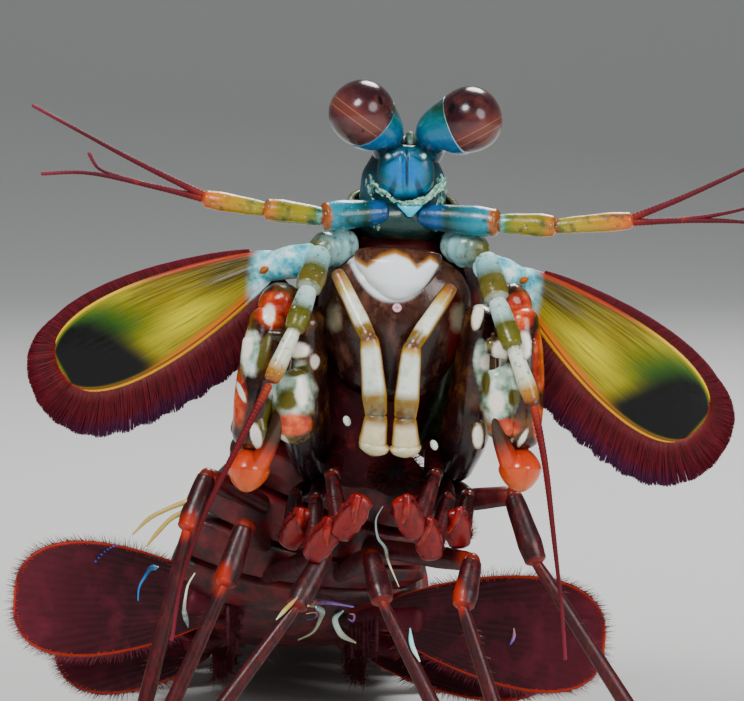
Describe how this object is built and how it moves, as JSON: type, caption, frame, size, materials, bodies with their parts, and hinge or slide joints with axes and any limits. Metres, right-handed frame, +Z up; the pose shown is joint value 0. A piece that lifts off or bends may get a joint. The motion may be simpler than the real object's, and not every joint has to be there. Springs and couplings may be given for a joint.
{
  "type": "peacock mantis shrimp",
  "caption": "Life-size model of a peacock mantis shrimp, reared up with its claws folded and antennal scales spread, its tail flat on the ground.",
  "frame": {"origin": "on the resting plane, at the middle of the flat underside of the telson", "axes": "+Z up, -Y the way the animal faces, +X its left side"},
  "size_m": [0.084, 0.1268, 0.0722],
  "materials": {
    "cornea": "glassy faceted cornea, brown-purple with a coppery sheen and two fine bands",
    "blue_shell": "smooth glossy cuticle, saturated blue to cyan with pale green edges",
    "olive_shell": "thick glossy carapace cuticle, olive green with dark red hind edges",
    "banded_shell": "glossy thin cuticle banded in white, cyan, olive and orange",
    "paddle": "fine-grained translucent blade, olive to yellow-green with a black oval and an orange rim",
    "red_whip": "thin ringed whip, dark red",
    "pale_shell": "translucent cream and mint cuticle with brown shading",
    "brown_shell": "wet translucent brown cuticle",
    "hammer": "hard smooth hammer heel, orange to white",
    "red_shell": "glossy bright red cuticle",
    "maroon_shell": "smooth dark maroon cuticle with orange-red joints",
    "leaf": "thin ribbed maroon leaf with pale iridescent ribs"
  },
  "bodies": {
    "root": {"underbody": "brown_shell", "carapace": "olive_shell", "head": "blue_shell", "head_shield": "blue_shell", "face": "brown_shell", "thorax_front": "olive_shell", "thorax_rear": "olive_shell", "abdomen_1": "olive_shell", "abdomen_2": "olive_shell", "abdomen_3": "olive_shell", "abdomen_4": "olive_shell", "abdomen_5": "olive_shell", "abdomen_6": "olive_shell", "telson": "olive_shell", "cornea_right": "cornea", "eyestalk_right": "blue_shell", "antennule_right": "banded_shell", "antenna_right": "banded_shell", "antenna_whip_right": "red_whip", "antennal_scale_right": "paddle", "maxilliped_1_right": "pale_shell", "claw_merus_right": "pale_shell", "claw_propodus_right": "pale_shell", "claw_dactyl_right": "hammer", "maxilliped_3_right": "red_shell", "maxilliped_4_right": "red_shell", "maxilliped_5_right": "red_shell", "walking_leg_1_right": "maroon_shell", "walking_leg_2_right": "maroon_shell", "walking_leg_3_right": "maroon_shell", "pleopod_1_right": "leaf", "pleopod_2_right": "leaf", "pleopod_3_right": "leaf", "pleopod_4_right": "leaf", "pleopod_5_right": "leaf", "uropod_right": "olive_shell", "cornea_left": "cornea", "eyestalk_left": "blue_shell", "antennule_left": "banded_shell", "antenna_left": "banded_shell", "antenna_whip_left": "red_whip", "antennal_scale_left": "paddle", "maxilliped_1_left": "pale_shell", "claw_merus_left": "pale_shell", "claw_propodus_left": "pale_shell", "claw_dactyl_left": "hammer", "maxilliped_3_left": "red_shell", "maxilliped_4_left": "red_shell", "maxilliped_5_left": "red_shell", "walking_leg_1_left": "maroon_shell", "walking_leg_2_left": "maroon_shell", "walking_leg_3_left": "maroon_shell", "pleopod_1_left": "leaf", "pleopod_2_left": "leaf", "pleopod_3_left": "leaf", "pleopod_4_left": "leaf", "pleopod_5_left": "leaf", "uropod_left": "olive_shell"}
  },
  "joints": []
}
